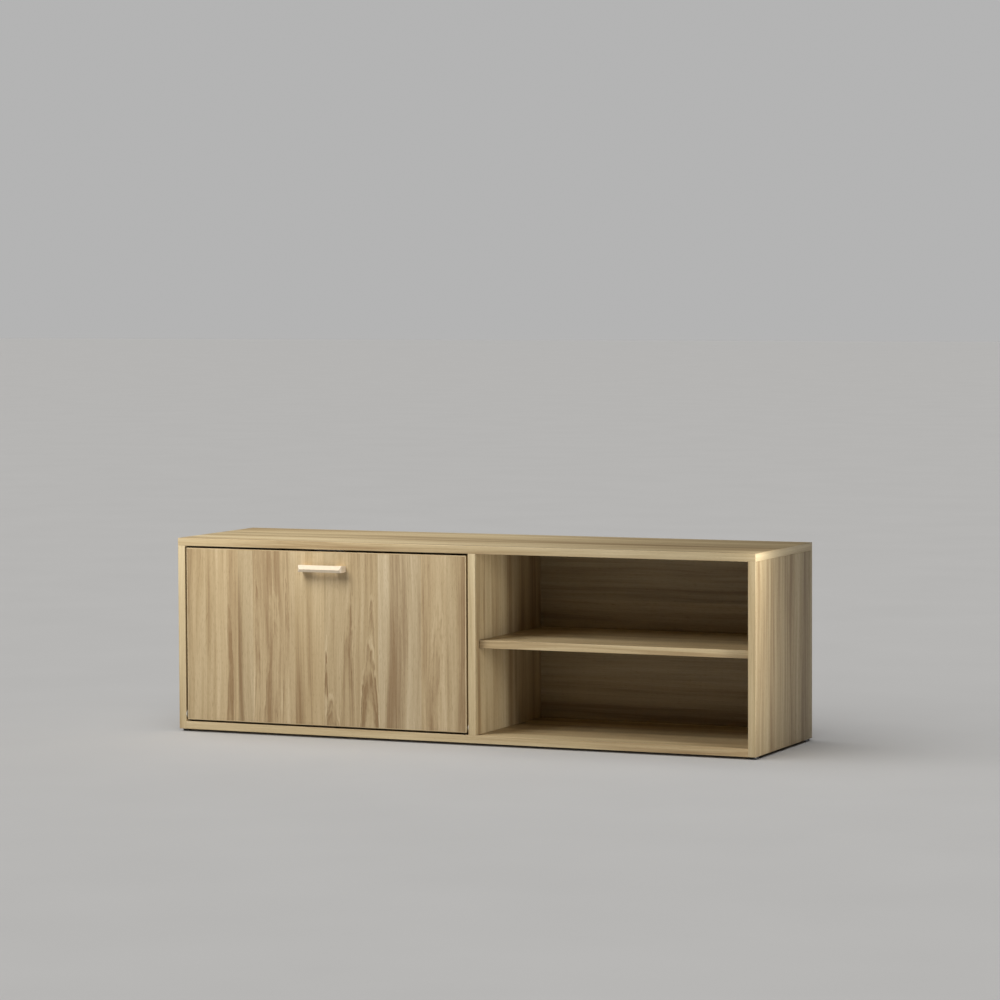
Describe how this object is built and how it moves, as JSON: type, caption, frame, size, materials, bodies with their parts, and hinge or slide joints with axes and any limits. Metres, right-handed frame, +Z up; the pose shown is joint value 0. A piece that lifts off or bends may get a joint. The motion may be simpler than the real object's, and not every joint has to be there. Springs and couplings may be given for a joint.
{
  "type": "tv stand with doors",
  "caption": "Low oak-decor television cabinet with a drop-down flap on the left and two stacked open compartments on the right, standing on small glides.",
  "frame": {"origin": "on the floor, in the middle of the overall box (the handle in front included)", "axes": "+Z up, the front with the flap and its handle faces -Y, +X runs along the cabinet's length to the right seen from the front"},
  "size_m": [1.2, 0.342, 0.38],
  "materials": {
    "oak_board": "oak-decor melamine on chipboard, fine embossed grain, satin",
    "oak_back": "printed oak decor on thin fibreboard, matte",
    "beech": "bare turned beech",
    "oak_plastic": "moulded plastic in the colour of the boards",
    "zinc": "zinc die-cast and zinc-plated sheet, dull",
    "steel": "zinc-plated steel, satin",
    "handle_metal": "satin, warm pale nickel tone",
    "black_plastic": "moulded black plastic",
    "white_plastic": "moulded white plastic",
    "ferrite": "sintered ferrite magnet, matte"
  },
  "bodies": {
    "carcass": {"top_panel": "oak_board", "bottom_panel": "oak_board", "side_left": "oak_board", "side_right": "oak_board", "partition": "oak_board", "shelf": "oak_board", "back_panel": "oak_back", "cam_locks": "zinc", "cam_bolts": "steel", "cam_caps": "oak_plastic", "dowels": "beech", "shelf_pins": "steel", "back_nails": "steel", "glide_pads": "black_plastic", "glide_nails": "steel", "hinge_bushes": "white_plastic", "stay_studs": "steel", "catch_case": "white_plastic", "catch_magnet": "ferrite", "catch_poles": "zinc", "catch_screws": "steel"},
    "flap": {"flap_panel": "oak_board", "handle": "handle_metal", "handle_screws": "steel", "pivot_pins": "steel", "strike_plate": "zinc", "strike_screw": "steel", "stay_brackets": "zinc", "bracket_screws": "steel", "stay_rivets": "steel"},
    "stay_left": {"stay_arm_left": "zinc"},
    "stay_right": {"stay_arm_right": "zinc"}
  },
  "joints": [
    {"name": "flap_hinge", "type": "hinge", "parent": "carcass", "child": "flap", "pos_m": [-0.2815, -0.1415, 0.034], "axis": [1, 0, 0], "range_deg": [0, 90]},
    {"name": "stay_left_pivot", "type": "hinge", "parent": "flap", "child": "stay_left", "pos_m": [-0.579, -0.122, 0.18273], "axis": [1, 0, 0], "range_deg": [-45, 0]},
    {"name": "stay_right_pivot", "type": "hinge", "parent": "flap", "child": "stay_right", "pos_m": [0.016, -0.122, 0.18273], "axis": [1, 0, 0], "range_deg": [-45, 0]}
  ],
  "couplings": [
    {"joint": "stay_left_pivot", "follows": "flap_hinge", "ratio": -0.5},
    {"joint": "stay_right_pivot", "follows": "flap_hinge", "ratio": -0.5}
  ]
}
